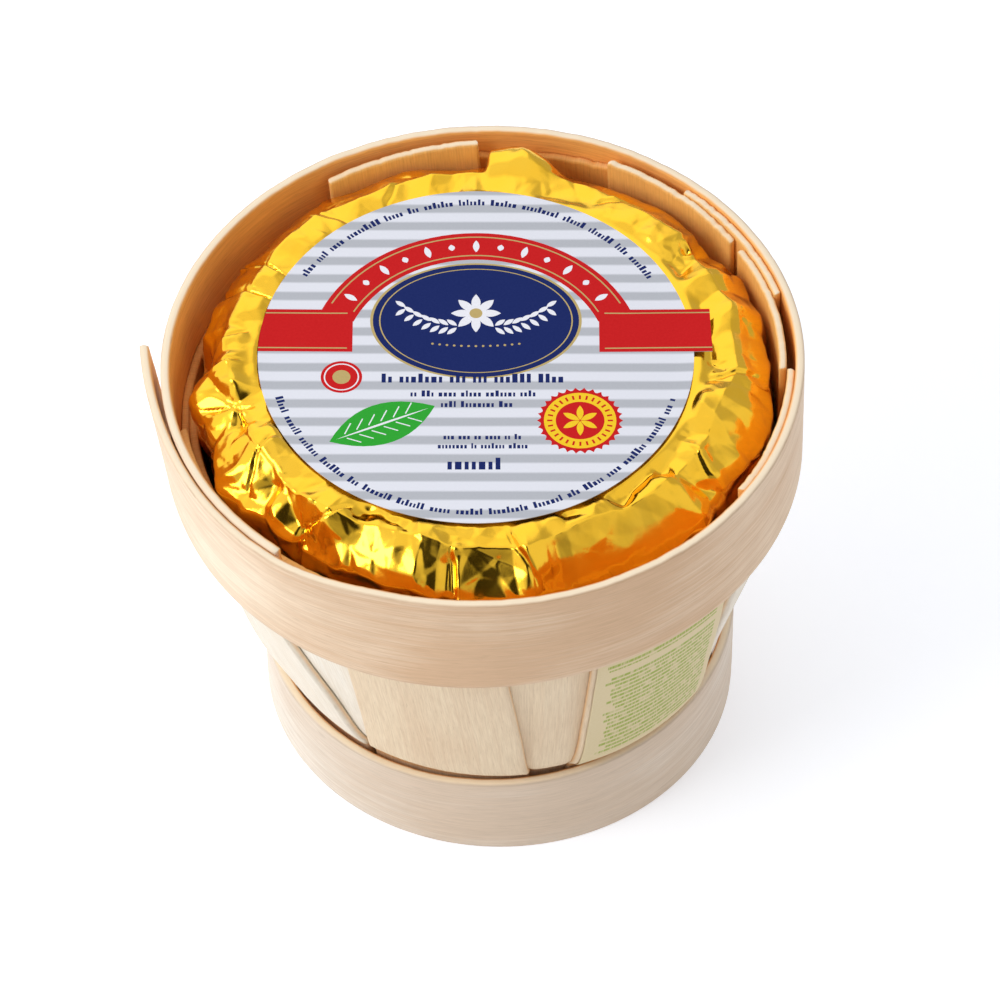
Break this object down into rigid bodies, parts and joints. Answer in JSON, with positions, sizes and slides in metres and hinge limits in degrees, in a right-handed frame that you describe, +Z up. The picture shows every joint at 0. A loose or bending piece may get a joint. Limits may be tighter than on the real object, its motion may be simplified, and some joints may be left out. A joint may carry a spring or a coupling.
{
  "type": "wrapped butter block",
  "caption": "Round butter block wrapped in gold foil with a round paper label, standing in a small woven veneer basket with a low and a high wooden band.",
  "frame": {"origin": "middle of the flat underside of the lowest crossing strip, level with the lower band's bottom edge", "axes": "+Z up through the basket, -Y to the front where the high band is bare, +X to the label's tab"},
  "size_m": [0.0968, 0.0919, 0.0723],
  "materials": {
    "band_wood": "raw sanded poplar veneer",
    "slat_wood": "raw peeled poplar veneer",
    "gold_foil": "gold lacquered foil, creased",
    "label_paper": "coated printed paper",
    "sticker_paper": "uncoated printed paper"
  },
  "bodies": {
    "root": {"upper_band": "band_wood", "lower_band": "band_wood", "cross_strip_1": "slat_wood", "cross_strip_2": "slat_wood", "cross_strip_3": "slat_wood", "cross_strip_4": "slat_wood", "inner_slat_1": "slat_wood", "inner_slat_2": "slat_wood", "inner_slat_3": "slat_wood", "inner_slat_4": "slat_wood", "inner_slat_5": "slat_wood", "inner_slat_6": "slat_wood", "inner_slat_7": "slat_wood", "inner_slat_8": "slat_wood", "foil_block": "gold_foil", "label": "label_paper", "side_sticker": "sticker_paper"}
  },
  "joints": []
}
